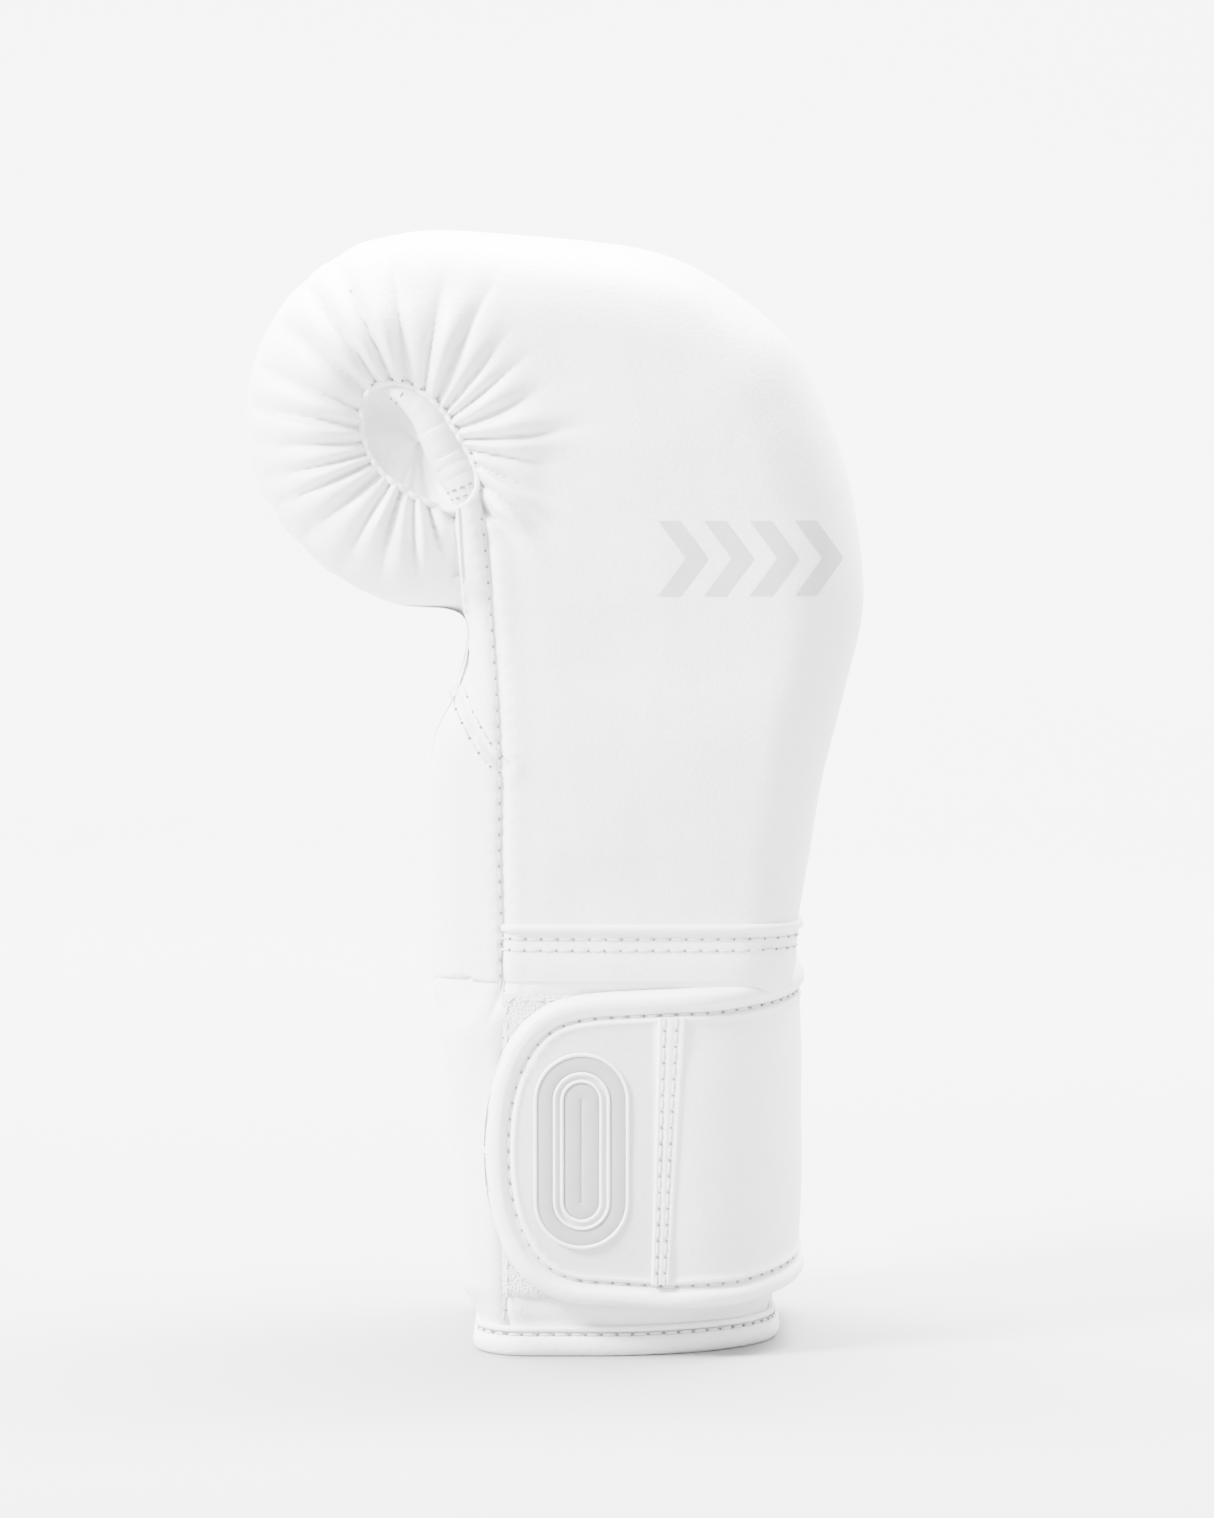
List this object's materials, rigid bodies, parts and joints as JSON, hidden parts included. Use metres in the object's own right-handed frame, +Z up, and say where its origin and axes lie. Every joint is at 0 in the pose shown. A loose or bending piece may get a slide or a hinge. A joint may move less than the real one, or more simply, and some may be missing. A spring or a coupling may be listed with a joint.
{
  "type": "boxing glove",
  "caption": "Left-hand padded boxing glove with a curled finger roll, tied thumb and a wide wrap-round wrist strap with a hook-and-loop end.",
  "frame": {"origin": "middle of the glove's footprint, at the bottom edge of the cuff", "axes": "+Z up along the forearm towards the knuckles, +X towards the back of the hand, +Y towards the thumb"},
  "size_m": [0.1596, 0.1407, 0.2902],
  "materials": {
    "white_leather": "matte grained white synthetic leather",
    "smooth_lining": "smooth pale grey coated fabric",
    "lining": "fine woven nylon lining",
    "loop_fabric": "brushed loop pile",
    "hook_fabric": "woven tape with fine plastic hooks",
    "elastic": "ribbed elastic webbing",
    "grey_trim": "flat moulded grey trim and print",
    "thread": "twisted polyester thread",
    "dense_foam": "closed-cell foam",
    "eva_foam": "closed-cell foam sheet",
    "soft_foam": "open-cell soft foam"
  },
  "bodies": {
    "glove": {"back_shell": "white_leather", "palm_upper_panel": "white_leather", "palm_heel_panel": "white_leather", "dense_foam": "dense_foam", "eva_foam": "eva_foam", "soft_foam": "soft_foam", "heel_foam": "soft_foam", "grip_bar": "dense_foam", "hand_liner": "lining", "opening_binding": "white_leather", "recess_cup": "smooth_lining", "welt_band": "white_leather", "cuff_shell": "white_leather", "cuff_palm_panel": "white_leather", "cuff_foam": "soft_foam", "cuff_lining": "lining", "cuff_binding": "white_leather", "wrist_gusset": "elastic", "loop_patch": "loop_fabric", "strap_anchor_border": "white_leather", "strap_anchor_panel": "white_leather", "strap_anchor_foam": "soft_foam"},
    "thumb": {"thumb_outer_shell": "white_leather", "thumb_palm_panel": "white_leather", "thumb_foam_pad": "soft_foam", "thumb_liner": "lining", "thumb_link": "white_leather"},
    "strap_back": {"strap_back_border": "white_leather", "strap_back_panel": "white_leather", "strap_back_foam": "soft_foam"},
    "strap_tip": {"strap_tip_border": "white_leather", "strap_tip_panel": "white_leather", "strap_tip_foam": "soft_foam", "strap_end_panel": "white_leather", "strap_hook_patch": "hook_fabric", "strap_seam_band": "white_leather", "strap_badge": "grey_trim"}
  },
  "joints": [
    {"name": "thumb_flex", "type": "hinge", "parent": "glove", "child": "thumb", "pos_m": [0.00973, 0.03616, 0.111], "axis": [-1, 0, 0], "range_deg": [0, 8], "stiffness_Nm_per_rad": 2},
    {"name": "strap_back_hinge", "type": "hinge", "parent": "glove", "child": "strap_back", "pos_m": [0.02873, 0.03956, 0.055], "axis": [0, 0, 1], "range_deg": [0, 100]},
    {"name": "strap_tip_hinge", "type": "hinge", "parent": "strap_back", "child": "strap_tip", "pos_m": [0.06463, -0.02684, 0.055], "axis": [0, 0, 1], "range_deg": [0, 110]}
  ]
}
